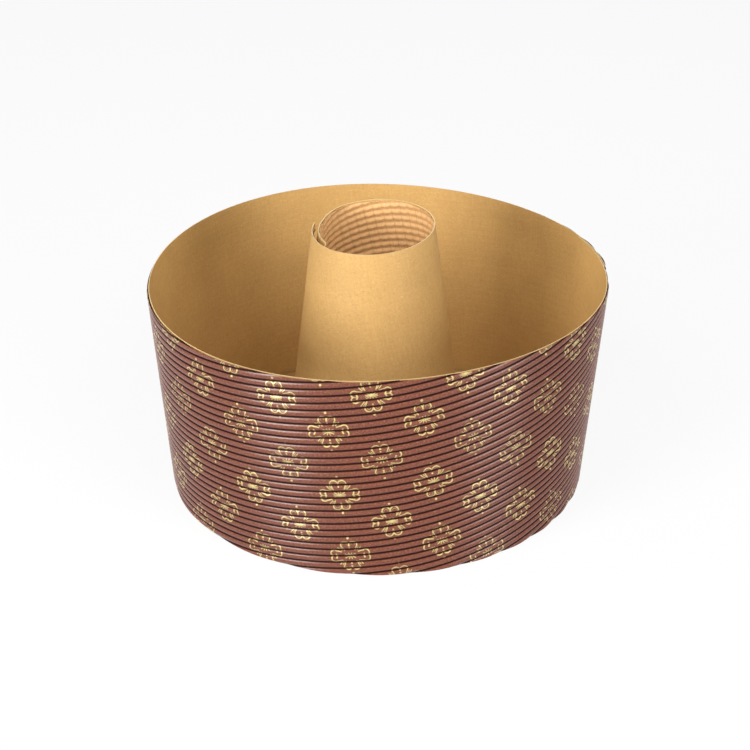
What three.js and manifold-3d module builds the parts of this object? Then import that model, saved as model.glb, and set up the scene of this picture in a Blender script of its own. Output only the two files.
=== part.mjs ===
// A paper tube cake mold: a tapered wall of fluted paper, a flat base ring and a tapered centre tube.
// Millimetres, +Z up. It stands on z = 0, and the origin is the middle of its footprint.
// Directions are in degrees round the Z axis, counted from +X towards +Y. The front of the mold faces -Y.

import * as THREE from 'three';
import { mergeVertices } from 'three/addons/utils/BufferGeometryUtils.js';
import loadManifold from 'manifold-3d';

const manifold = await loadManifold();
manifold.setup();

// Driving dimensions of the wall, measured over the crests of its flutes
const rimRadius = 85;
const wallFootRadius = 79.1;
const wallHeight = 80.7;
const rimLobeDepth = 1.2;
const rimLobeDirection = -7.6;
const wallLapAngle = 18;
const wallFreeEdgeDirection = 3;
const wallLevelDirection = 165.5;
const wallLapGap = 0.3;
const wallFacets = 40;

// Driving dimensions of the centre tube, measured over its smooth outside
const mouthRadius = 22.3;
const tubeFootRadius = 35;
const tubeHeight = 99.3;
const mouthTilt = 4.2;
const mouthHighDirection = 44;
const tubeLapAngle = 45;
const tubeFreeEdgeDirection = 165;
const tubeLevelDirection = 0;
const tubeLapGapAtMouth = 1.3;
const tubeLapGapAtFoot = 0.3;
const tubeLapStandOut = 0.6;
const tubeFacets = 24;

// The fluted paper that both are rolled from: a smooth liner with flutes on one side
const linerThickness = 0.5;
const fluteHeight = 0.8;
const flutePitch = 2.78;

// The turned edges that carry the base, and the base ring
const hemWidth = 7;
const flangeWidth = 7;
const turnedEdgeThickness = 0.9;
const baseThickness = 0.8;
const seatGap = 0.3;
const edgeClearance = 0.3;

const paperThickness = linerThickness + fluteHeight;
const wallStartDirection = wallFreeEdgeDirection + wallLapAngle;
const tubeStartDirection = tubeFreeEdgeDirection + tubeLapAngle;
const fullTurn = 360;
const spareFlutes = 2;

const printedPaper = new THREE.MeshStandardMaterial({ color: 0x7c4a38, roughness: 0.62, metalness: 0 });
const kraftPaper = new THREE.MeshStandardMaterial({ color: 0xcfa267, roughness: 0.8, metalness: 0 });
const baseBoard = new THREE.MeshStandardMaterial({ color: 0xbf9258, roughness: 0.85, metalness: 0 });

function toSolid(geometry) {
  geometry.deleteAttribute('normal');
  geometry.deleteAttribute('uv');
  const merged = mergeVertices(geometry);
  const mesh = new manifold.Mesh({
    numProp: 3,
    vertProperties: new Float32Array(merged.getAttribute('position').array),
    triVerts: new Uint32Array(merged.getIndex().array),
  });
  return new manifold.Manifold(mesh);
}

function toMesh(solid, name, material) {
  const result = solid.getMesh();
  const geometry = new THREE.BufferGeometry();
  geometry.setAttribute('position', new THREE.BufferAttribute(result.vertProperties, result.numProp));
  geometry.setIndex(new THREE.BufferAttribute(result.triVerts, 1));
  geometry.computeVertexNormals();
  const mesh = new THREE.Mesh(geometry, material);
  mesh.name = name;
  return mesh;
}

// A flat ring round the Z axis, from its inner to its outer radius and from its lower to its upper face.
// One of its corners points in the first direction.
function ring(innerRadius, outerRadius, bottom, top, facets, firstDirection) {
  const profile = [
    new THREE.Vector2(innerRadius, bottom),
    new THREE.Vector2(outerRadius, bottom),
    new THREE.Vector2(outerRadius, top),
    new THREE.Vector2(innerRadius, top),
    new THREE.Vector2(innerRadius, bottom),
  ];
  const geometry = new THREE.LatheGeometry(profile, facets, THREE.MathUtils.degToRad(firstDirection + 90));
  geometry.rotateX(Math.PI / 2);
  return toSolid(geometry);
}

// A block with its top face through (0, 0, height), tilted up towards one direction
function blockBelow(height, halfWidth, tilt, highDirection) {
  const depth = 4 * height;
  const geometry = new THREE.BoxGeometry(2 * halfWidth, 2 * halfWidth, depth);
  geometry.translate(0, 0, -depth / 2);
  geometry.rotateY(-THREE.MathUtils.degToRad(tilt));
  geometry.rotateZ(THREE.MathUtils.degToRad(highDirection));
  geometry.translate(0, 0, height);
  return toSolid(geometry);
}

function blockAboveGround(height, halfWidth) {
  const geometry = new THREE.BoxGeometry(2 * halfWidth, 2 * halfWidth, height);
  geometry.translate(0, 0, height / 2);
  return toSolid(geometry);
}

// The cross-section of the flat fluted sheet. x is the distance out from the finished outside,
// and y is the distance up the sheet from the foot, at the place where the flutes lie level.
function flutedSection(lowest, highest, flutesOutside) {
  const first = Math.floor(lowest / flutePitch) - spareFlutes;
  const last = Math.ceil(highest / flutePitch) + spareFlutes;
  const smoothSide = flutesOutside ? -paperThickness : 0;
  const valley = flutesOutside ? -fluteHeight : -linerThickness;
  const crest = flutesOutside ? 0 : -paperThickness;
  const section = new THREE.Shape();
  section.moveTo(smoothSide, first * flutePitch);
  for (let flute = first; flute < last; flute += 1) {
    section.lineTo(valley, flute * flutePitch);
    section.lineTo(crest, (flute + 0.5) * flutePitch);
  }
  section.lineTo(valley, last * flutePitch);
  section.lineTo(smoothSide, last * flutePitch);
  section.closePath();
  return section;
}

// Rolls a flat fluted sheet into a cone. The blank is a flat ring sector whose flutes are straight and
// parallel, so on the cone they rise or fall away from the direction in which they lie level.
// Both plies of the lap bend at the same directions, which keeps their facets parallel.
function rollCone({ footRadius, topRadiusAt, meanTopRadius, height, flutesOutside, startDirection, lapAngle,
  facets, levelDirection, spareHeight, shiftAt }) {
  const sweep = fullTurn + lapAngle;
  const facetAngle = fullTurn / facets;
  const steps = Math.ceil(sweep / facetAngle);
  const slant = Math.hypot(meanTopRadius - footRadius, height);
  const taper = (meanTopRadius - footRadius) / slant;
  const footFromApex = footRadius / taper;
  const turnsToLevel = Math.round((levelDirection - startDirection + sweep / 2) / fullTurn);
  const level = levelDirection - fullTurn * turnsToLevel;
  const blankAngle = (direction) => THREE.MathUtils.degToRad(direction - level) * taper;

  const ends = [startDirection, startDirection - steps * facetAngle];
  const widest = Math.max(...ends.map((direction) => Math.abs(blankAngle(direction))));
  const rowAt = (reach, angle) => (reach + footFromApex) * Math.cos(angle) - footFromApex;
  const reaches = [-spareHeight, slant + spareHeight];
  const rows = reaches.flatMap((reach) => [rowAt(reach, 0), rowAt(reach, widest)]);
  const section = flutedSection(Math.min(...rows), Math.max(...rows), flutesOutside);
  const sheet = new THREE.ExtrudeGeometry(section, { steps, depth: steps, bevelEnabled: false });

  const cornerAt = (offset, row, corner) => {
    const turned = corner * facetAngle;
    const direction = startDirection - turned;
    const bend = THREE.MathUtils.degToRad(direction);
    const reach = (row + footFromApex) / Math.cos(blankAngle(direction)) - footFromApex;
    const share = reach / slant;
    const edge = THREE.MathUtils.lerp(footRadius, topRadiusAt(bend), share);
    const radius = edge + offset + shiftAt(turned, share);
    return new THREE.Vector3(radius * Math.cos(bend), radius * Math.sin(bend), share * height);
  };
  const position = sheet.getAttribute('position');
  for (let i = 0; i < position.count; i += 1) {
    const place = Math.min(position.getZ(i), sweep / facetAngle);
    const corner = Math.floor(place);
    const before = cornerAt(position.getX(i), position.getY(i), corner);
    const after = cornerAt(position.getX(i), position.getY(i), corner + 1);
    position.setXYZ(i, ...before.lerp(after, place - corner));
  }
  return toSolid(sheet);
}

// How much of a lap's shift a point has: all of it in the lap, and none one lap's angle past it
function lapShare(angleFromEdge, lapAngle) {
  return 1 - THREE.MathUtils.smoothstep(angleFromEdge, lapAngle, 2 * lapAngle);
}

// The wall's free inner edge starts behind the lap, and the sheet ends outside it
function makeWall() {
  const sweep = fullTurn + wallLapAngle;
  const lapShift = (paperThickness + wallLapGap) / 2;
  const lobeDirection = THREE.MathUtils.degToRad(rimLobeDirection);
  const sheet = rollCone({
    footRadius: wallFootRadius,
    meanTopRadius: rimRadius,
    topRadiusAt: (bend) => rimRadius + rimLobeDepth * Math.cos(3 * (bend - lobeDirection)),
    height: wallHeight,
    flutesOutside: true,
    startDirection: wallStartDirection,
    lapAngle: wallLapAngle,
    facets: wallFacets,
    levelDirection: wallLevelDirection,
    spareHeight: flutePitch,
    shiftAt: (turned) => lapShift * (lapShare(sweep - turned, wallLapAngle) - lapShare(turned, wallLapAngle)),
  });
  const wall = sheet.intersect(blockAboveGround(wallHeight, 2 * rimRadius));
  const hemOutside = wallFootRadius - fluteHeight - linerThickness / 2;
  const hemInside = wallFootRadius - paperThickness - hemWidth;
  const hem = ring(hemInside, hemOutside, 0, turnedEdgeThickness, wallFacets, wallStartDirection);
  return wall.add(hem);
}

// The tube's free inner edge starts inside the lap, which gapes at the mouth, and the sheet ends outside it
function makeTube() {
  const sweep = fullTurn + tubeLapAngle;
  const gapAt = (share) => THREE.MathUtils.lerp(tubeLapGapAtFoot, tubeLapGapAtMouth, share);
  const inwardAt = (share) => paperThickness + gapAt(share) - tubeLapStandOut;
  const mouthRise = mouthRadius * Math.tan(THREE.MathUtils.degToRad(mouthTilt));
  const sheet = rollCone({
    footRadius: tubeFootRadius,
    meanTopRadius: mouthRadius,
    topRadiusAt: () => mouthRadius,
    height: tubeHeight,
    flutesOutside: false,
    startDirection: tubeStartDirection,
    lapAngle: tubeLapAngle,
    facets: tubeFacets,
    levelDirection: tubeLevelDirection,
    spareHeight: flutePitch + 2 * mouthRise,
    shiftAt: (turned, share) => tubeLapStandOut * lapShare(sweep - turned, tubeLapAngle)
      - inwardAt(share) * lapShare(turned, tubeLapAngle),
  });
  const halfWidth = 2 * tubeFootRadius;
  const tube = sheet
    .intersect(blockAboveGround(tubeHeight + 2 * mouthRise, halfWidth))
    .intersect(blockBelow(tubeHeight, halfWidth, mouthTilt, mouthHighDirection));
  const flangeInside = tubeFootRadius - linerThickness / 2;
  const flangeOutside = tubeFootRadius + tubeLapStandOut + flangeWidth;
  const flange = ring(flangeInside, flangeOutside, 0, turnedEdgeThickness, tubeFacets, tubeStartDirection);
  return tube.add(flange);
}

// The base ring lies on the wall's hem and on the tube's flange
function makeBase() {
  const lapShift = (paperThickness + wallLapGap) / 2;
  const inside = tubeFootRadius + tubeLapStandOut + edgeClearance;
  const outside = wallFootRadius - paperThickness - lapShift - edgeClearance;
  const bottom = turnedEdgeThickness + seatGap;
  return ring(inside, outside, bottom, bottom + baseThickness, wallFacets, wallStartDirection);
}

const mold = new THREE.Group();
mold.add(
  toMesh(makeWall(), 'outer_wall', printedPaper),
  toMesh(makeBase(), 'base_ring', baseBoard),
  toMesh(makeTube(), 'centre_tube', kraftPaper),
);

// The lobed rim and the lap make the outline a little uneven, so the axis stands off the middle of the box
const footprint = new THREE.Box3().setFromObject(mold, true).getCenter(new THREE.Vector3());
mold.position.set(-footprint.x, -footprint.y, 0);
mold.updateMatrixWorld(true);

export default mold;
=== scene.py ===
"""Looks of a paper chiffon cake mold: printed fluted wall, base board and kraft centre tube.

Metres, +Z up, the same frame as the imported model. Directions are in degrees round +Z from +X
towards +Y, and the front of the mold faces -Y.
"""

import math

import bpy
import numpy as np
from mathutils import Matrix, Vector


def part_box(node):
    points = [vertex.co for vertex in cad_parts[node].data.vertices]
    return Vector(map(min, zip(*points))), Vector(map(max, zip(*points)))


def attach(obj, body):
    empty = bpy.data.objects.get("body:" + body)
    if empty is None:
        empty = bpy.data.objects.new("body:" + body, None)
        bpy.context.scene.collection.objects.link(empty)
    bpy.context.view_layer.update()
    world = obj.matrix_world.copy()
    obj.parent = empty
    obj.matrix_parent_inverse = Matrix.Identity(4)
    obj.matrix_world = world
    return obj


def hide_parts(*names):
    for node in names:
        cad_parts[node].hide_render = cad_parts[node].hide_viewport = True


bl_info = {
    "name": "Paper chiffon cake mold",
    "version": (1, 0, 0),
    "blender": (4, 5, 0),
    "location": "3D View > Sidebar > Cake mold",
    "description": "Builds a printed paper cake mold with a centre tube round its packed model",
    "category": "Object",
}

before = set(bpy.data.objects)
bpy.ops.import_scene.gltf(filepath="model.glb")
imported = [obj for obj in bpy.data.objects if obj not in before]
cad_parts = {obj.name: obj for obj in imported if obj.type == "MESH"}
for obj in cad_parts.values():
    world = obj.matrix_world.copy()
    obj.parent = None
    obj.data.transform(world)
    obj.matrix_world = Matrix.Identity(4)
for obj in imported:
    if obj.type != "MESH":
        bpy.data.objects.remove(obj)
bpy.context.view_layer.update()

MM = 0.001
MM_PER_METRE = 1000.0
ROOT = "root"
BLANK_UV = "blank"

base_low, base_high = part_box("base_ring")
AXIS = Vector(((base_low.x + base_high.x) / 2, (base_low.y + base_high.y) / 2, 0.0))
WALL_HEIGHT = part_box("outer_wall")[1].z

# The sheets: grid sizes, and how far the flutes stop short of the cut edges
FLUTE_STEPS = 8
WALL_COLUMNS = 168
WALL_LINER_GRID = (240, 40)
TUBE_LINER_GRID = (200, 60)
BORE_FLUTE_STEPS = 6
BORE_COLUMNS = 216
SPARE_ROWS = 2 * MM
RIM_SETBACK = 0.3 * MM
RIM_SETBACK_SLOPE = (-0.00118, 0.00294, 1.0)
MOUTH_SETBACK = 0.55 * MM
FOOT_SETBACK = 0.1 * MM
TUBE_LINER_EXTRA = 0.1 * MM
CUT_TOLERANCE = 1e-7
MERGE_DISTANCE = 1e-6

# The beaded flutes inside the tube, with the pitch in millimetres
CRINKLE_PITCH = 3.6
BEAD_SHIFT = 0.30 * MM
BEAD_SHARE = 0.40

# The pleats of the turned edges
HEM_PLEATS = 96
HEM_PLEAT_STEPS = 10
FOOT_PLEATS = 44
FOOT_PLEAT_STEPS = 12
PLEAT_RINGS = 5
PLEAT_SHEET = 0.25 * MM
PLEAT_LIFT = 0.27 * MM
PLEAT_HEADROOM = 0.30 * MM
PLEAT_CREASE_PLACE = 0.32
PLEAT_OPENING = 1.4

# The base board
BOARD_CORNERS = 160
BOARD_BEVEL = 0.15 * MM


def length(name, description, default):
    return bpy.props.FloatProperty(name=name, description=description, default=default, unit="LENGTH",
                                   precision=5)


def degrees(name, description, default):
    return bpy.props.FloatProperty(name=name, description=description, default=math.radians(default),
                                   unit="ROTATION")


def colour(name, description, default):
    return bpy.props.FloatVectorProperty(name=name, description=description, default=default,
                                         subtype="COLOR", size=3, min=0.0, max=1.0)


class PaperSizes(bpy.types.PropertyGroup):
    """The fluted paper that the wall and the tube are rolled from."""

    flute_pitch: length("Flute pitch", "From one flute to the next", 2.78 * MM)
    flute_height: length("Flute height", "How far the flutes stand off the liner", 0.65 * MM)
    liner: length("Liner thickness", "Thickness of the smooth sheet", 0.3 * MM)
    medium: length("Flute sheet thickness", "Thickness of the waved sheet", 0.18 * MM)
    paper: length("Paper thickness", "Liner and flutes together", 1.05 * MM)


class WallSizes(bpy.types.PropertyGroup):
    """The printed wall."""

    rim_radius: length("Rim radius", "Over the flutes, at the rim", 85.0 * MM)
    foot_radius: length("Foot radius", "Over the flutes, at the foot", 79.1 * MM)
    lobe_depth: length("Rim lobe depth", "How far the rim is out of round", 1.2 * MM)
    lobe_direction: degrees("Rim lobe direction", "Where one of the three lobes points", -7.6)
    free_edge: degrees("Free edge direction", "Where the outer ply of the lap ends", 3.0)
    lap_angle: degrees("Lap angle", "How far the plies overlap", 18.0)
    level_direction: degrees("Level direction", "Where the flutes lie level", 165.5)
    lap_gap: length("Lap gap", "Room between the plies of the lap", 0.05 * MM)
    lap_press: length("Lap press", "Height left of the flutes under the lap", 0.1 * MM)
    hem_width: length("Hem width", "Width of the turned-in edge", 7.0 * MM)
    edge_thickness: length("Turned edge thickness", "Height of the pleated hem and foot", 0.9 * MM)
    crest_room: length("Crest room", "How far the crests stay below their full height", 0.05 * MM)
    hem_inset: length("Hem inset", "How far the hem starts inside the flutes", 0.1 * MM)


class TubeSizes(bpy.types.PropertyGroup):
    """The kraft centre tube."""

    mouth_radius: length("Mouth radius", "Outside radius at the mouth", 22.3 * MM)
    foot_radius: length("Foot radius", "Outside radius at the foot", 35.0 * MM)
    height: length("Height", "Height of the mouth on the axis", 99.3 * MM)
    mouth_tilt: degrees("Mouth tilt", "How far the cut of the mouth is out of level", 4.2)
    high_direction: degrees("High direction", "Where the mouth is highest", 44.0)
    free_edge: degrees("Free edge direction", "Where the outer ply of the lap ends", 165.0)
    lap_angle: degrees("Lap angle", "How far the plies overlap", 45.0)
    gap_at_mouth: length("Lap gap at the mouth", "Room between the plies at the mouth", 1.3 * MM)
    gap_at_foot: length("Lap gap at the foot", "Room between the plies at the foot", 0.3 * MM)
    stand_out: length("Lap stand-out", "How far the outer ply stands out", 0.6 * MM)
    flange_width: length("Flange width", "Width of the turned-out foot", 7.0 * MM)
    base_clearance: length("Base clearance", "Room between the tube and the base board", 0.3 * MM)


class Finishes(bpy.types.PropertyGroup):
    """Colours of the print, the kraft paper and the board, and of the painted shade between the flutes."""

    print_brown: colour("Print brown", "Ground of the print", (0.126, 0.030, 0.0120))
    print_worn: colour("Print worn", "Worn streaks of the print", (0.180, 0.052, 0.025))
    print_blot: colour("Print blot", "Darker fields of the print", (0.115, 0.032, 0.018))
    print_fleck: colour("Print fleck", "Light flecks of the print", (0.270, 0.100, 0.056))
    print_pit: colour("Print pit", "Dark flecks of the print", (0.070, 0.017, 0.007))
    print_rubbed: colour("Print rubbed", "Rubbed crests", (0.32, 0.17, 0.12))
    # Painted shade: a near-black brown laid into the valleys between the flutes of the print
    painted_valley_shade: colour("Valley shade", "Painted shade between the flutes", (0.018, 0.0035, 0.0015))
    print_gold: colour("Print gold", "Lines of the ornament", (0.50, 0.40, 0.16))
    kraft: colour("Kraft", "Unprinted paper inside the wall", (0.570, 0.342, 0.114))
    tube_kraft: colour("Tube kraft", "Unprinted paper outside the tube", (0.590, 0.360, 0.128))
    kraft_dark: colour("Kraft shade", "Streaks and fibres of the paper", (0.410, 0.236, 0.080))
    kraft_fibre: colour("Kraft fibre", "Pale fibres of the paper", (0.700, 0.500, 0.235))
    kraft_fleck: colour("Kraft fleck", "Pale flecks of the paper", (0.720, 0.520, 0.250))
    # Painted shade inside the tube: the dips between the beads and the valleys between the flutes
    crinkle_dip_shade: colour("Crinkle dip shade", "Between the beads of a flute", (0.400, 0.215, 0.095))
    crinkle_valley_shade: colour("Crinkle valley shade", "Between the flutes", (0.480, 0.240, 0.100))
    crinkled: colour("Crinkled kraft", "Flutes inside the tube", (0.770, 0.455, 0.200))
    cut_edge: colour("Cut edge", "Raw edges of the smooth paper", (0.800, 0.600, 0.320))
    board: colour("Board", "The base board", (0.500, 0.300, 0.125))
    board_grain: colour("Board grain", "Light grain of the board", (0.62, 0.42, 0.20))
    board_speck: colour("Board speck", "Dark specks of the board", (0.22, 0.11, 0.04))


class Ornament(bpy.types.PropertyGroup):
    """Where the flower ornament of the print lies on the flat sheet."""

    column_pitch: length("Column pitch", "From one column of flowers to the next", 16.43 * MM)
    row_pitch: length("Row pitch", "From one flower to the next in a column", 26.30 * MM)
    first_column: length("First column", "Place of a column on the flat sheet", 70.2 * MM)
    first_row: length("First row", "Place of a flower below the rim", -27.35 * MM)
    turn: degrees("Turn", "How far the print is turned on the sheet", -0.37)


class Value:
    """A number or colour in a node tree, so that shader maths reads as Python."""

    def __init__(self, shader, socket):
        self.shader = shader
        self.socket = socket

    def math(self, operation, *others, clamp=False):
        settings = {"operation": operation, "use_clamp": clamp}
        return self.shader.node("ShaderNodeMath", settings, {i: v for i, v in enumerate((self, *others))})

    def __add__(self, other):
        return self.math("ADD", other)

    def __radd__(self, other):
        return self.math("ADD", other)

    def __sub__(self, other):
        return self.math("SUBTRACT", other)

    def __rsub__(self, other):
        return (self * -1.0).math("ADD", other)

    def __mul__(self, other):
        return self.math("MULTIPLY", other)

    def __rmul__(self, other):
        return self.math("MULTIPLY", other)

    def __truediv__(self, other):
        return self.math("DIVIDE", other)

    def __pow__(self, other):
        return self.math("POWER", other)

    def __abs__(self):
        return self.math("ABSOLUTE")

    def sin(self):
        return self.math("SINE")

    def floor(self):
        return self.math("FLOOR")

    def at_least(self, other):
        return self.math("MAXIMUM", other)

    def ramp(self, low, high):
        """0 below low and 1 above high, or the other way round, with a smooth step between."""
        backwards = low > high
        ends = (high, low) if backwards else (low, high)
        settings = {"interpolation_type": "SMOOTHSTEP"}
        inputs = {"Value": self, "From Min": ends[0], "From Max": ends[1]}
        inputs["To Min"], inputs["To Max"] = (1.0, 0.0) if backwards else (0.0, 1.0)
        return self.shader.node("ShaderNodeMapRange", settings, inputs)


class Shader:
    """The node tree of one material, or of the world."""

    def __init__(self, owner):
        owner.use_nodes = True
        self.tree = owner.node_tree
        self.tree.nodes.clear()

    @staticmethod
    def material(name):
        return Shader(bpy.data.materials.new(name))

    def node(self, kind, settings=None, inputs=None, output=0):
        made = self.tree.nodes.new(kind)
        for key, value in (settings or {}).items():
            setattr(made, key, value)
        for key, value in (inputs or {}).items():
            socket = made.inputs[key]
            if isinstance(value, Value):
                self.tree.links.new(value.socket, socket)
            else:
                socket.default_value = (*value, 1.0) if socket.type == "RGBA" else value
        return Value(self, made.outputs[output]) if len(made.outputs) else None

    def mix(self, share, first, second):
        """Mixes two colours. The colour sockets of the node are numbered 6, 7 and 2."""
        return self.node("ShaderNodeMix", {"data_type": "RGBA"}, {0: share, 6: first, 7: second}, 2)

    def blank(self):
        """The two coordinates on the flat sheet, in millimetres."""
        uv = self.node("ShaderNodeUVMap", {"uv_map": BLANK_UV})
        across, along = (self.node("ShaderNodeSeparateXYZ", None, {0: uv}, axis) * MM_PER_METRE
                         for axis in ("X", "Y"))
        return across, along

    def vector(self, x, y, z):
        return self.node("ShaderNodeCombineXYZ", None, {0: x, 1: y, 2: z})

    def place(self):
        """The place on the object, in metres."""
        return self.node("ShaderNodeTexCoord", None, None, "Object")

    def seen(self):
        """1 for rays that show the background, straight or in a reflection or through glass."""
        camera, glossy, through = (self.node("ShaderNodeLightPath", None, None, name)
                                   for name in ("Is Camera Ray", "Is Glossy Ray", "Is Transmission Ray"))
        return camera.at_least(glossy).at_least(through)

    def noise(self, vector, scale, detail, roughness):
        inputs = {"Vector": vector, "Scale": scale, "Detail": detail, "Roughness": roughness}
        return self.node("ShaderNodeTexNoise", None, inputs)

    def bump(self, height, strength, distance):
        inputs = {"Height": height, "Strength": strength, "Distance": distance}
        return self.node("ShaderNodeBump", None, inputs)

    def surface(self, inputs):
        made = self.node("ShaderNodeBsdfPrincipled", None, inputs)
        self.node("ShaderNodeOutputMaterial", None, {"Surface": made})


def flute_wave(values, pitch):
    """How far up from a valley to a crest, 0 to 1, for rows of flutes."""
    return np.abs(np.sin(np.pi * values / pitch))


def smooth_share(angle, lap):
    """1 within a lap, and 0 from one lap's angle past it."""
    t = np.clip((angle - lap) / lap, 0.0, 1.0)
    return 1.0 - t * t * (3.0 - 2.0 * t)


class RolledSheet:
    """A flat sheet cut as a ring sector and rolled into a cone that laps over itself."""

    def __init__(self, foot_radius, top_radius, height, start, lap, level, top_at, shift_at):
        self.foot_radius = foot_radius
        self.height = height
        self.start = start
        self.sweep = 2 * math.pi + lap
        self.slant = math.hypot(top_radius - foot_radius, height)
        self.taper = (top_radius - foot_radius) / self.slant
        self.foot_from_apex = foot_radius / self.taper
        turns = round((level - start + self.sweep / 2) / (2 * math.pi))
        self.level = level - 2 * math.pi * turns
        self.top_at = top_at
        self.shift_at = shift_at

    def blank_angle(self, direction):
        return (direction - self.level) * self.taper

    def row_range(self, spare):
        """Lowest and highest row that the whole sheet needs."""
        widest = max(abs(self.blank_angle(self.start)), abs(self.blank_angle(self.start - self.sweep)))
        rows = [(reach + self.foot_from_apex) * math.cos(angle) - self.foot_from_apex
                for reach in (-spare, self.slant + spare) for angle in (0.0, widest)]
        return min(rows), max(rows)

    def points(self, turned, row, offset):
        """Where points of the flat sheet lie once it is rolled."""
        direction = self.start - turned
        reach = (row + self.foot_from_apex) / np.cos(self.blank_angle(direction)) - self.foot_from_apex
        share = reach / self.slant
        edge = self.foot_radius + (self.top_at(direction) - self.foot_radius) * share
        radius = edge + offset + self.shift_at(turned, share)
        return np.stack([AXIS.x + radius * np.cos(direction), AXIS.y + radius * np.sin(direction),
                         share * self.height], axis=-1)

    def blank(self, turned, row):
        """Places on the flat sheet: across it, and down from the rim where the flutes lie level."""
        across = (row + self.foot_from_apex) * np.tan(self.blank_angle(self.start - turned))
        return np.stack([across, row - self.slant], axis=-1)


def wall_sheet():
    sizes = bpy.context.scene.mold_wall
    paper = bpy.context.scene.mold_paper
    sweep = 2 * math.pi + sizes.lap_angle
    pressed = paper.paper - paper.flute_height + sizes.lap_press
    shift = (pressed + sizes.lap_gap) / 2

    def top_at(direction):
        return sizes.rim_radius + sizes.lobe_depth * np.cos(3 * (direction - sizes.lobe_direction))

    def shift_at(turned, share):
        return shift * (smooth_share(sweep - turned, sizes.lap_angle) - smooth_share(turned, sizes.lap_angle))

    return RolledSheet(sizes.foot_radius, sizes.rim_radius, WALL_HEIGHT, sizes.free_edge + sizes.lap_angle,
                       sizes.lap_angle, sizes.level_direction, top_at, shift_at)


def tube_sheet():
    sizes = bpy.context.scene.mold_tube
    paper = bpy.context.scene.mold_paper
    sweep = 2 * math.pi + sizes.lap_angle

    def shift_at(turned, share):
        gap = sizes.gap_at_foot + (sizes.gap_at_mouth - sizes.gap_at_foot) * share
        inward = paper.paper + gap - sizes.stand_out
        return (sizes.stand_out * smooth_share(sweep - turned, sizes.lap_angle)
                - inward * smooth_share(turned, sizes.lap_angle))

    return RolledSheet(sizes.foot_radius, sizes.mouth_radius, sizes.height, sizes.free_edge + sizes.lap_angle,
                       sizes.lap_angle, 0.0, lambda direction: sizes.mouth_radius, shift_at)


def deselect():
    bpy.ops.object.select_all(action="DESELECT")


def choose(obj):
    """Makes one object the selected and active one."""
    deselect()
    bpy.context.view_layer.objects.active = obj
    obj.select_set(True)


def grid(name, columns, rows):
    """Adds a grid, and gives it with the places of its points across and along it, 0 to 1."""
    deselect()
    bpy.ops.mesh.primitive_grid_add(x_subdivisions=columns, y_subdivisions=rows, size=1.0)
    made = bpy.context.object
    made.name = name
    flat = np.zeros(len(made.data.vertices) * 3)
    made.data.vertices.foreach_get("co", flat)
    flat = flat.reshape(-1, 3)
    return made, flat[:, 0] + 0.5, flat[:, 1] + 0.5


def lay_out(obj, points, blank):
    """Moves a grid's points, and keeps their places on the flat sheet as a UV map."""
    mesh = obj.data
    mesh.vertices.foreach_set("co", points.ravel())
    corners = np.zeros(len(mesh.loops), dtype=np.int32)
    mesh.loops.foreach_get("vertex_index", corners)
    layer = mesh.uv_layers.active
    layer.name = BLANK_UV
    layer.data.foreach_set("uv", blank[corners].ravel())
    mesh.update()


def rolled_grid(name, sheet, low, high, columns, rows, offset_at):
    """Adds a flat sheet and rolls it up. offset_at(turned, row) is how far it stands out."""
    made, across, along = grid(name, columns, rows)
    turned = across * sheet.sweep
    row = low + along * (high - low)
    lay_out(made, sheet.points(turned, row, offset_at(turned, row)), sheet.blank(turned, row))
    return made


def edit(obj):
    choose(obj)
    bpy.ops.object.mode_set(mode="EDIT")
    bpy.ops.mesh.select_all(action="SELECT")


def leave_edit():
    bpy.ops.object.mode_set(mode="OBJECT")


def cut(obj, point, normal):
    """Cuts off what lies on the normal's side of a plane."""
    edit(obj)
    bpy.ops.mesh.bisect(plane_co=point, plane_no=normal, clear_outer=True, threshold=CUT_TOLERANCE)
    leave_edit()


def cut_between(obj, bottom, top):
    """Cuts off what lies below the bottom and above the top."""
    cut(obj, (0, 0, bottom), (0, 0, -1))
    cut(obj, (0, 0, top), (0, 0, 1))


def face_out(obj, outwards):
    """Turns a rolled sheet's faces away from the axis, or towards it."""
    mesh = obj.data
    face = mesh.polygons[len(mesh.polygons) // 2]
    away = (face.center - AXIS).to_2d().dot(face.normal.to_2d())
    if (away > 0) != outwards:
        edit(obj)
        bpy.ops.mesh.flip_normals()
        leave_edit()


def thicken(obj, thickness, offset=-1.0, materials=()):
    """Gives a sheet its thickness. With two materials, the second one goes on its cut edges."""
    obj.data.materials.clear()
    for name in materials:
        obj.data.materials.append(bpy.data.materials[name])
    modifier = obj.modifiers.new("thickness", "SOLIDIFY")
    modifier.material_offset_rim = max(0, len(materials) - 1)
    modifier.thickness = thickness
    modifier.offset = offset
    modifier.use_even_offset = False
    apply(obj, modifier)


def apply(obj, modifier):
    choose(obj)
    bpy.ops.object.modifier_apply(modifier=modifier.name)


def finish_piece(obj, material, crease, nodes=()):
    """Shades a piece smooth up to the crease angle, gives it its material, and puts it in the frame."""
    choose(obj)
    bpy.ops.object.shade_smooth_by_angle(angle=math.radians(crease))
    if not obj.data.materials:
        obj.data.materials.append(bpy.data.materials[material])
    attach(obj, ROOT)
    if nodes:
        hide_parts(*nodes)


# One quarter of the flower, mirrored into the other three, in millimetres from its middle. A stroke has
# its two ends and half its width. The dots lie on the upright, each with its height and its radius.
FLOWER_STROKES = (
    ((1.85, 2.30), (2.80, 4.55), 0.17),
    ((4.65, 0.00), (5.05, 0.95), 0.25),
    ((3.00, 1.80), (5.60, 2.42), 0.17),
    ((2.75, 2.35), (4.05, 3.70), 0.15),
    ((2.30, 2.60), (3.20, 3.80), 0.11),
    ((-1.00, -0.55), (1.75, 0.95), 0.14),
    ((-1.00, -0.10), (2.00, 0.25), 0.12),
    ((-0.30, -1.00), (0.55, 1.25), 0.14),
)
FLOWER_DOTS = ((7.65, 0.42), (3.45, 0.30), (0.0, 0.55))
SOFT_EDGE = 0.13


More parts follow.
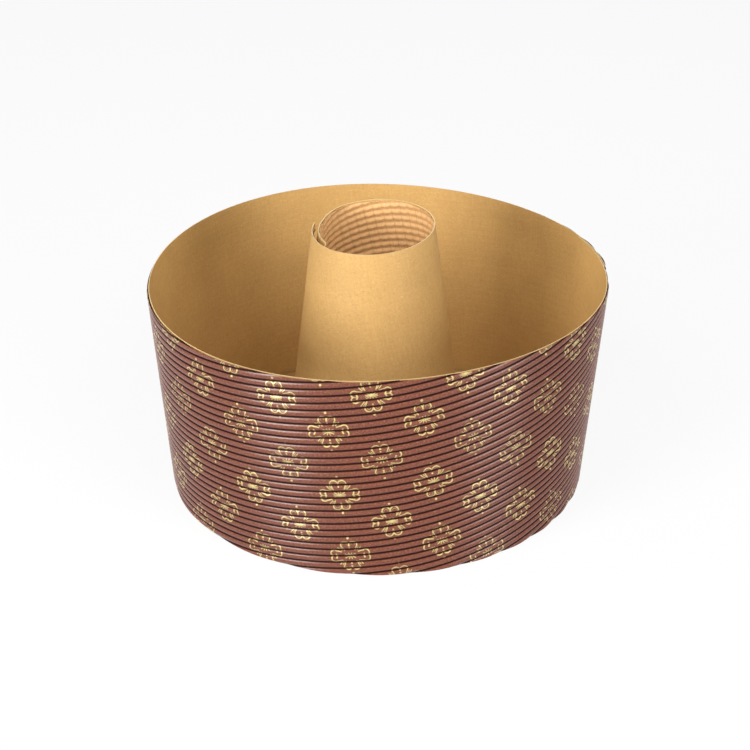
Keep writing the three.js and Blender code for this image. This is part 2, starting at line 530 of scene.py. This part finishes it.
def edge_of(distance, reach):
    """1 within the reach and 0 past it, with a soft edge."""
    return distance.ramp(reach + SOFT_EDGE, reach - SOFT_EDGE)


def distance_to(u, v, centre_u, centre_v):
    return ((u - centre_u) ** 2.0 + (v - centre_v) ** 2.0) ** 0.5


def arc(u, v, centre_u, centre_v, radius, half_line):
    """A ring round a point, 1 on the line."""
    return edge_of(abs(distance_to(u, v, centre_u, centre_v) - radius), half_line)


def dot(u, v, centre_u, centre_v, radius):
    return edge_of(distance_to(u, v, centre_u, centre_v), radius)


def stroke(u, v, start, end, half_line):
    """A straight dash between two points."""
    du, dv = end[0] - start[0], end[1] - start[1]
    size = math.hypot(du, dv)
    du, dv = du / size, dv / size
    along = (u - start[0]) * du + (v - start[1]) * dv
    across = abs((v - start[1]) * du - (u - start[0]) * dv)
    past = abs(along - size / 2) - size / 2
    return edge_of(across, half_line) * past.ramp(SOFT_EDGE * 2, 0.0)


def flower(across, along, ornament):
    """The line ornament of the print: four heart petals round a star, on a half-drop lattice."""
    turn = ornament.turn
    x = across * math.cos(turn) + along * math.sin(turn)
    y = along * math.cos(turn) - across * math.sin(turn)
    column_pitch, row_pitch = ornament.column_pitch / MM, ornament.row_pitch / MM
    columns = (x - ornament.first_column / MM) / column_pitch
    column = (columns + 0.5).floor()
    half_drop = abs(column.math("MODULO", 2.0))
    u = abs((columns - column) * column_pitch)
    rows = (y - ornament.first_row / MM) / row_pitch + half_drop * 0.5
    v = abs((rows - (rows + 0.5).floor()) * row_pitch)

    drawn = arc(u, v, 1.45, 4.75, 1.40, 0.22) * v.ramp(4.05, 4.35)
    drawn = drawn.at_least(arc(u, v, 1.50, 4.70, 0.70, 0.07) * v.ramp(4.5, 5.0) * 0.6)
    drawn = drawn.at_least(arc(u, v, 5.55, 1.15, 1.30, 0.22) * u.ramp(4.5, 4.9))
    for start, end, half_line in FLOWER_STROKES:
        drawn = drawn.at_least(stroke(u, v, start, end, half_line))
    for height, radius in FLOWER_DOTS:
        drawn = drawn.at_least(dot(u, v, 0.0, height, radius))
    return drawn


def printed_paper():
    """Satin brown print with a pale gold line ornament, and painted shade between the flutes."""
    finish = bpy.context.scene.mold_finishes
    pitch = bpy.context.scene.mold_paper.flute_pitch / MM
    slant = wall_sheet().slant / MM
    shader = Shader.material("satin_print")
    across, along = shader.blank()
    crest = abs(((along + slant) * (math.pi / pitch)).sin())
    flat = shader.vector(across, along, 0.0)
    wear = shader.noise(shader.vector(across * 0.35, along * 2.2, 3.0), 1.0, 3.0, 0.6)
    fibre = shader.noise(shader.vector(across * 1.2, along * 4.0, 8.0), 2.4, 3.0, 0.6)
    grain = shader.noise(shader.vector(across * 1.3, along * 1.9, 5.0), 1.0, 3.0, 0.7)
    blot = shader.noise(flat, 0.06, 2.0, 0.5)

    ground = shader.mix(wear.ramp(0.35, 0.75) * 0.45, finish.print_brown, finish.print_worn)
    ground = shader.mix(blot.ramp(0.35, 0.7) * 0.30, ground, finish.print_blot)
    ground = shader.mix(grain.ramp(0.48, 0.68) * 0.60, ground, finish.print_fleck)
    ground = shader.mix(grain.ramp(0.50, 0.32) * 0.60, ground, finish.print_pit)
    rubbed = crest.ramp(0.80, 1.0) * fibre.ramp(0.58, 0.72) * 0.35
    ground = shader.mix(rubbed, ground, finish.print_rubbed)
    gold = flower(across, along, bpy.context.scene.mold_ornament)
    # The gold fades out deep in the valleys, where the painted shade takes over from it
    gold = gold * grain.ramp(0.28, 0.46) * crest.ramp(0.10, 0.36)
    shade = shader.mix(gold, ground, finish.print_gold)
    # Painted shade between the flutes: the valleys turn near-black brown, a little less over the gold
    valley = crest.ramp(0.62, 0.28)
    shade = shader.mix(valley * (1.0 - gold * 0.25), shade, finish.painted_valley_shade)

    normal = shader.bump(fibre * 0.6 + grain * 0.4, 0.40, 0.00012)
    shader.surface({
        "Base Color": shade,
        "Roughness": 0.46 + 0.10 * wear,
        "Metallic": gold * 0.45,
        "Specular IOR Level": 0.06,
        "Normal": normal,
        "Coat Weight": (1.0 - valley) * 0.8,
        "Coat Roughness": 0.25,
        "Coat IOR": 1.5,
    })


def kraft_paper(name, ground, washboard, waffle=False):
    """Greaseproof kraft: a satin sheet with faint streaks along the flutes behind it, and fine fibres.

    The washboard is how strongly the flutes show through. The waffle is the beads of the flutes, with painted
    shade between the beads and in the valleys between the flutes.
    """
    finish = bpy.context.scene.mold_finishes
    pitch = bpy.context.scene.mold_paper.flute_pitch / MM
    wave_start = tube_sheet().slant / MM
    shader = Shader.material(name)
    across, along = shader.blank()
    wobble = shader.noise(shader.vector(across * 0.05, along * 0.4, 1.0), 1.0, 2.0, 0.5)
    rows = (((along + wobble * 1.2) * (2 * math.pi / pitch)).sin() + 1.0) * 0.5
    streak = shader.noise(shader.vector(across * 0.10, along * 1.5, 5.0), 1.0, 4.0, 0.65)
    upright = shader.noise(shader.vector(across * 1.3, along * 0.12, 9.0), 1.0, 3.0, 0.6)
    fibre = shader.noise(shader.vector(across * 0.9, along * 2.0, 2.0), 1.3, 3.0, 0.6)
    cloud = shader.noise(shader.vector(across * 0.05, along * 0.05, 4.0), 1.0, 3.0, 0.5)
    mottle = shader.noise(shader.vector(across, along, 7.0), 1.1, 3.0, 0.7)

    shade = shader.mix(streak.ramp(0.38, 0.70) * 0.30 * washboard, ground, finish.kraft_dark)
    shade = shader.mix(upright.ramp(0.40, 0.70) * 0.22, shade, finish.kraft_dark)
    shade = shader.mix(cloud.ramp(0.38, 0.68) * 0.25, shade, finish.kraft_dark)
    shade = shader.mix(mottle.ramp(0.52, 0.68) * 0.40, shade, finish.kraft_dark)
    shade = shader.mix(fibre.ramp(0.52, 0.70) * 0.30, shade, finish.kraft_fibre)
    shade = shader.mix(mottle.ramp(0.36, 0.28) * 0.35, shade, finish.kraft_fleck)
    shade = shader.mix(rows * 0.10 * washboard, shade, finish.kraft_dark)
    height = rows * washboard * 0.7 + streak * 0.4 * washboard + mottle * 0.35 + upright * 0.25
    if waffle:
        crest = abs(((along + wave_start) * (math.pi / pitch)).sin())
        crossing = abs((across * (math.pi / CRINKLE_PITCH)).sin())
        # Painted shade in the dips between the beads and in the valleys between the flutes
        shade = shader.mix(crossing.ramp(0.30, 0.0) * 0.35, shade, finish.crinkle_dip_shade)
        shade = shader.mix(crest.ramp(0.45, 0.0) * 0.45, shade, finish.crinkle_valley_shade)
        height = height + crossing * 0.4
    normal = shader.bump(height, 0.40, 0.00012)
    shader.surface({
        "Base Color": shade,
        "Roughness": 0.50 + 0.14 * fibre,
        "Specular IOR Level": 0.25,
        "Normal": normal,
    })


def base_paperboard():
    """Dull kraft board with a short random grain."""
    finish = bpy.context.scene.mold_finishes
    shader = Shader.material("grainy_board")
    place = shader.place()
    grain = shader.noise(place, 900.0, 4.0, 0.65)
    cloud = shader.noise(place, 45.0, 3.0, 0.5)
    speck = shader.noise(place, 2200.0, 1.0, 0.5)
    shade = shader.mix(cloud.ramp(0.35, 0.7) * 0.35, finish.board, finish.kraft_dark)
    shade = shader.mix(grain.ramp(0.5, 0.75) * 0.25, shade, finish.board_grain)
    shade = shader.mix(speck.ramp(0.68, 0.78) * 0.4, shade, finish.board_speck)
    normal = shader.bump(grain, 0.4, 0.0001)
    shader.surface({
        "Base Color": shade,
        "Roughness": 0.62 + 0.15 * grain,
        "Specular IOR Level": 0.4,
        "Normal": normal,
    })


def whole_flutes(sheet, pitch, spare):
    """Lowest and highest row of a sheet of whole flutes, and how many flutes it has."""
    low, high = sheet.row_range(spare)
    first, last = math.floor(low / pitch), math.ceil(high / pitch)
    return first * pitch, last * pitch, last - first


class MOLD_OT_wall_flutes(bpy.types.Operator):
    """Adds the printed waved sheet on the outside of the wall"""

    bl_idname = "mold.wall_flutes"
    bl_label = "Wall flutes"

    def execute(self, context):
        paper, wall = context.scene.mold_paper, context.scene.mold_wall
        sheet = wall_sheet()
        low, high, flutes = whole_flutes(sheet, paper.flute_pitch, SPARE_ROWS)
        depth = paper.flute_height - wall.crest_room
        flattened = 1.0 - wall.lap_press / depth

        def stand(turned, row):
            left = 1.0 - flattened * smooth_share(turned, wall.lap_angle)
            return -depth * (1.0 - left * flute_wave(row, paper.flute_pitch))

        made = rolled_grid("wall_flutes", sheet, low, high, WALL_COLUMNS, flutes * FLUTE_STEPS, stand)
        cut(made, (0, 0, FOOT_SETBACK), (0, 0, -1))
        cut(made, (AXIS.x, AXIS.y, WALL_HEIGHT - RIM_SETBACK), RIM_SETBACK_SLOPE)
        face_out(made, True)
        thicken(made, paper.medium)
        finish_piece(made, "satin_print", 50.0, ["outer_wall"])
        return {"FINISHED"}


class MOLD_OT_wall_liner(bpy.types.Operator):
    """Adds the smooth kraft liner inside the wall"""

    bl_idname = "mold.wall_liner"
    bl_label = "Wall liner"

    def execute(self, context):
        paper = context.scene.mold_paper
        sheet = wall_sheet()
        low, high = sheet.row_range(SPARE_ROWS)
        inside = paper.paper - paper.liner
        made = rolled_grid("wall_liner", sheet, low, high, *WALL_LINER_GRID, lambda turned, row: -inside)
        cut_between(made, 0.0, WALL_HEIGHT)
        face_out(made, True)
        thicken(made, paper.liner, materials=("kraft_wall_inside", "kraft_cut_edge"))
        finish_piece(made, "kraft_wall_inside", 40.0)
        return {"FINISHED"}


def pleated_ring(name, inside, outside, height, pleats, steps, flat_at_outside):
    """Adds a flat ring of pleated paper near the ground, flat along one edge and pleated to the other."""
    made, turn, share = grid(name, pleats * steps, PLEAT_RINGS)
    angle = turn * 2 * math.pi
    radius = inside + (outside - inside) * share
    loose = (1.0 - share) if flat_at_outside else share
    fold = np.abs(((angle * pleats / (2 * math.pi)) % 1.0) - PLEAT_CREASE_PLACE) / (1 - PLEAT_CREASE_PLACE)
    open_share = np.clip(fold, 0.0, 1.0) * np.clip(loose * PLEAT_OPENING, 0.0, 1.0)
    rise = PLEAT_LIFT + (height - PLEAT_LIFT - PLEAT_HEADROOM) * open_share
    points = np.stack([AXIS.x + radius * np.cos(angle), AXIS.y + radius * np.sin(angle), rise], axis=-1)
    lay_out(made, points, np.stack([angle * (inside + outside) / 2, radius - outside], axis=-1))
    edit(made)
    bpy.ops.mesh.remove_doubles(threshold=MERGE_DISTANCE)
    bpy.ops.mesh.normals_make_consistent(inside=False)
    leave_edit()
    return made


class MOLD_OT_turned_edges(bpy.types.Operator):
    """Adds the turned-in hem of the wall and the turned-out foot of the tube"""

    bl_idname = "mold.turned_edges"
    bl_label = "Turned edges"

    def execute(self, context):
        wall, tube, paper = context.scene.mold_wall, context.scene.mold_tube, context.scene.mold_paper
        height = wall.edge_thickness
        inside = wall.foot_radius - paper.paper - wall.hem_width
        outside = wall.foot_radius - paper.flute_height - wall.hem_inset
        hem = pleated_ring("wall_hem", inside, outside, height, HEM_PLEATS, HEM_PLEAT_STEPS, True)
        thicken(hem, PLEAT_SHEET, 1.0)
        finish_piece(hem, "satin_print_hem", 25.0)

        inside = tube.foot_radius - paper.liner
        outside = tube.foot_radius + tube.stand_out + tube.flange_width
        foot = pleated_ring("tube_foot", inside, outside, height, FOOT_PLEATS, FOOT_PLEAT_STEPS, False)
        thicken(foot, PLEAT_SHEET, 1.0)
        finish_piece(foot, "kraft_tube_outside", 25.0)
        return {"FINISHED"}


class MOLD_OT_tube(bpy.types.Operator):
    """Adds the centre tube: a smooth kraft liner outside and crinkled flutes inside"""

    bl_idname = "mold.centre_tube"
    bl_label = "Centre tube"

    def execute(self, context):
        paper, sizes = context.scene.mold_paper, context.scene.mold_tube
        sheet = tube_sheet()
        spare = SPARE_ROWS + 2 * sizes.mouth_radius * math.tan(sizes.mouth_tilt)
        low, high = sheet.row_range(spare)
        liner = rolled_grid("tube_liner", sheet, low, high, *TUBE_LINER_GRID, lambda turned, row: 0.0)
        self.trim(liner, sizes, 0.0)
        face_out(liner, True)
        thicken(liner, paper.liner + TUBE_LINER_EXTRA, materials=("kraft_tube_outside", "kraft_cut_edge"))
        finish_piece(liner, "kraft_tube_outside", 40.0, ["centre_tube"])

        pitch = paper.flute_pitch
        low, high, flutes = whole_flutes(sheet, pitch, spare)
        depth = paper.flute_height

        def stand(turned, row):
            across = sheet.blank(turned, row)[:, 0]
            bead = 0.5 - 0.5 * np.cos(2 * np.pi * across / (CRINKLE_PITCH * MM))
            wave = 0.5 - 0.5 * np.cos(2 * np.pi * (row + BEAD_SHIFT * (bead - 0.5)) / pitch)
            return -paper.paper + depth * (1.0 - wave * (1.0 - BEAD_SHARE + BEAD_SHARE * bead))

        rows = rolled_grid("tube_flutes", sheet, low, high, BORE_COLUMNS, flutes * BORE_FLUTE_STEPS, stand)
        self.trim(rows, sizes, MOUTH_SETBACK)
        face_out(rows, False)
        thicken(rows, paper.medium)
        finish_piece(rows, "kraft_crinkled", 50.0)
        return {"FINISHED"}

    @staticmethod
    def trim(obj, sizes, setback):
        """Cuts a sheet off near the ground and along the tilted mouth."""
        tilt, high = sizes.mouth_tilt, sizes.high_direction
        normal = (-math.sin(tilt) * math.cos(high), -math.sin(tilt) * math.sin(high), math.cos(tilt))
        cut(obj, (0, 0, FOOT_SETBACK), (0, 0, -1))
        cut(obj, (AXIS.x, AXIS.y, sizes.height - setback), normal)


class MOLD_OT_base(bpy.types.Operator):
    """Adds the board ring that closes the bottom"""

    bl_idname = "mold.base_board"
    bl_label = "Base board"

    def execute(self, context):
        tube = context.scene.mold_tube
        outside = (base_high.x - base_low.x) / 2
        inside = tube.foot_radius + tube.stand_out + tube.base_clearance
        deselect()
        bpy.ops.mesh.primitive_circle_add(vertices=BOARD_CORNERS, radius=outside, fill_type="NGON",
                                          location=(AXIS.x, AXIS.y, base_high.z))
        made = bpy.context.object
        made.name = "base_board"
        bpy.ops.object.transform_apply(location=True, rotation=True, scale=True)
        edit(made)
        bpy.ops.mesh.select_mode(type="FACE")
        bpy.ops.mesh.inset(thickness=outside - inside, use_even_offset=False)
        bpy.ops.mesh.delete(type="FACE")
        leave_edit()
        thicken(made, base_high.z - base_low.z)
        bevel = made.modifiers.new("edge", "BEVEL")
        bevel.width = BOARD_BEVEL
        bevel.segments = 2
        bevel.limit_method = "ANGLE"
        apply(made, bevel)
        finish_piece(made, "grainy_board", 30.0, ["base_ring"])
        return {"FINISHED"}


class MOLD_OT_materials(bpy.types.Operator):
    """Makes the papers and the board"""

    bl_idname = "mold.materials"
    bl_label = "Materials"

    def execute(self, context):
        printed_paper()
        bpy.data.materials["satin_print"].copy().name = "satin_print_hem"
        finish = context.scene.mold_finishes
        kraft_paper("kraft_wall_inside", finish.kraft, 0.6)
        kraft_paper("kraft_tube_outside", finish.tube_kraft, 0.35)
        kraft_paper("kraft_crinkled", finish.crinkled, 0.2, waffle=True)
        kraft_paper("kraft_cut_edge", finish.cut_edge, 0.0)
        base_paperboard()
        return {"FINISHED"}


# Each lamp's name, its azimuth from the front and its elevation in degrees, and its power in watts
LAMPS = (
    ("lamp_right_low", 48, 14, 6.2),
    ("lamp_right_high", 30, 46, 5.4),
    ("lamp_left_low", -48, 14, 11.2),
    ("lamp_left_high", -42, 46, 5.6),
    ("lamp_front", -5, 40, 3.0),
    ("lamp_back_right", 150, 46, 1.2),
    ("lamp_back_left", -150, 46, 1.2),
)
LAMP_DISTANCE = 1.2
LAMP_SIZE = 0.5

WHITE = (1.0, 1.0, 1.0)
FLOOR_COLOUR = (0.86, 0.86, 0.86)
FLOOR_RADIUS = 6.0
FLOOR_CORNERS = 96
FLOOR_WHITE_SHARE = 0.88
WORLD_STRENGTH = 0.06


def softbox(name, azimuth, elevation, power):
    """Adds a square lamp that looks at the mold. Azimuth is from the front, positive to the right."""
    az, el = math.radians(azimuth), math.radians(elevation)
    back = Vector((math.sin(az) * math.cos(el), -math.cos(az) * math.cos(el), math.sin(el)))
    target = Vector((AXIS.x, AXIS.y, WALL_HEIGHT / 2))
    bpy.ops.object.light_add(type="AREA", location=target + back * LAMP_DISTANCE)
    lamp = bpy.context.object
    lamp.name = name
    lamp.rotation_mode = "QUATERNION"
    lamp.rotation_quaternion = (-back).to_track_quat("-Z", "Y")
    lamp.data.shape = "SQUARE"
    lamp.data.size = LAMP_SIZE
    lamp.data.energy = power


CAMERA_DISTANCE = 690.3 * MM
CAMERA_ELEVATION = 28.40
CAMERA_ROLL = -0.59
CAMERA_LENS = 87.13
CAMERA_SHIFT = (-0.00139, -0.00912)
CAMERA_SENSOR = 36.0
CAMERA_REACH = (0.01, 50.0)


class MOLD_OT_stage(bpy.types.Operator):
    """Adds the pale floor, the lamps and the camera"""

    bl_idname = "mold.stage"
    bl_label = "Stage"

    def execute(self, context):
        self.add_floor()
        self.add_world(context)
        for name, azimuth, elevation, power in LAMPS:
            softbox(name, azimuth, elevation, power)
        self.add_camera(context)
        return {"FINISHED"}

    @staticmethod
    def add_floor():
        deselect()
        bpy.ops.mesh.primitive_circle_add(vertices=FLOOR_CORNERS, radius=FLOOR_RADIUS, fill_type="NGON")
        floor = bpy.context.object
        floor.name = "floor"
        shader = Shader.material("floor")
        diffuse = shader.node("ShaderNodeBsdfDiffuse", None, {"Color": FLOOR_COLOUR})
        white = shader.node("ShaderNodeEmission", None, {"Color": WHITE, "Strength": 1.0})
        share = shader.seen() * FLOOR_WHITE_SHARE
        mixed = shader.node("ShaderNodeMixShader", None, {0: share, 1: diffuse, 2: white})
        shader.node("ShaderNodeOutputMaterial", None, {"Surface": mixed})
        floor.data.materials.append(bpy.data.materials["floor"])

    @staticmethod
    def add_world(context):
        world = bpy.data.worlds.new("studio")
        context.scene.world = world
        shader = Shader(world)
        dim = shader.node("ShaderNodeBackground", None, {"Color": WHITE, "Strength": WORLD_STRENGTH})
        bright = shader.node("ShaderNodeBackground", None, {"Color": WHITE, "Strength": 1.0})
        mixed = shader.node("ShaderNodeMixShader", None, {0: shader.seen(), 1: dim, 2: bright})
        shader.node("ShaderNodeOutputWorld", None, {"Surface": mixed})

    @staticmethod
    def add_camera(context):
        elevation = math.radians(CAMERA_ELEVATION)
        target = Vector((AXIS.x, AXIS.y, WALL_HEIGHT / 2))
        back = Vector((0.0, -math.cos(elevation), math.sin(elevation)))
        bpy.ops.object.camera_add(location=target + back * CAMERA_DISTANCE)
        camera = bpy.context.object
        camera.name = "camera"
        turn = (Matrix.Rotation(math.pi / 2 - elevation, 4, "X")
                @ Matrix.Rotation(math.radians(CAMERA_ROLL), 4, "Z"))
        camera.rotation_euler = turn.to_euler()
        camera.data.sensor_width = CAMERA_SENSOR
        camera.data.lens = CAMERA_LENS
        camera.data.shift_x, camera.data.shift_y = CAMERA_SHIFT
        camera.data.clip_start, camera.data.clip_end = CAMERA_REACH
        context.scene.camera = camera
        context.scene.view_settings.view_transform = "Standard"


class MOLD_PT_panel(bpy.types.Panel):
    """Sizes, colours and pieces of the cake mold"""

    bl_idname = "MOLD_PT_panel"
    bl_label = "Cake mold"
    bl_space_type = "VIEW_3D"
    bl_region_type = "UI"
    bl_category = "Cake mold"

    def draw(self, context):
        layout = self.layout
        for title, (name, kind) in GROUPS.items():
            box = layout.box()
            box.label(text=title)
            for key in kind.__annotations__:
                box.prop(getattr(context.scene, name), key)
        for operator in OPERATORS:
            layout.operator(operator.bl_idname)


GROUPS = {
    "Paper": ("mold_paper", PaperSizes),
    "Wall": ("mold_wall", WallSizes),
    "Tube": ("mold_tube", TubeSizes),
    "Finishes": ("mold_finishes", Finishes),
    "Ornament": ("mold_ornament", Ornament),
}
OPERATORS = (
    MOLD_OT_materials,
    MOLD_OT_wall_flutes,
    MOLD_OT_wall_liner,
    MOLD_OT_turned_edges,
    MOLD_OT_tube,
    MOLD_OT_base,
    MOLD_OT_stage,
)
CLASSES = (PaperSizes, WallSizes, TubeSizes, Finishes, Ornament, *OPERATORS, MOLD_PT_panel)


def register():
    for cls in CLASSES:
        bpy.utils.register_class(cls)
    for name, kind in GROUPS.values():
        setattr(bpy.types.Scene, name, bpy.props.PointerProperty(type=kind))


def unregister():
    for name, _ in GROUPS.values():
        delattr(bpy.types.Scene, name)
    for cls in reversed(CLASSES):
        bpy.utils.unregister_class(cls)


def main():
    register()
    bpy.ops.mold.materials()
    bpy.ops.mold.wall_flutes()
    bpy.ops.mold.wall_liner()
    bpy.ops.mold.turned_edges()
    bpy.ops.mold.centre_tube()
    bpy.ops.mold.base_board()
    bpy.ops.mold.stage()


if __name__ == "__main__":
    main()
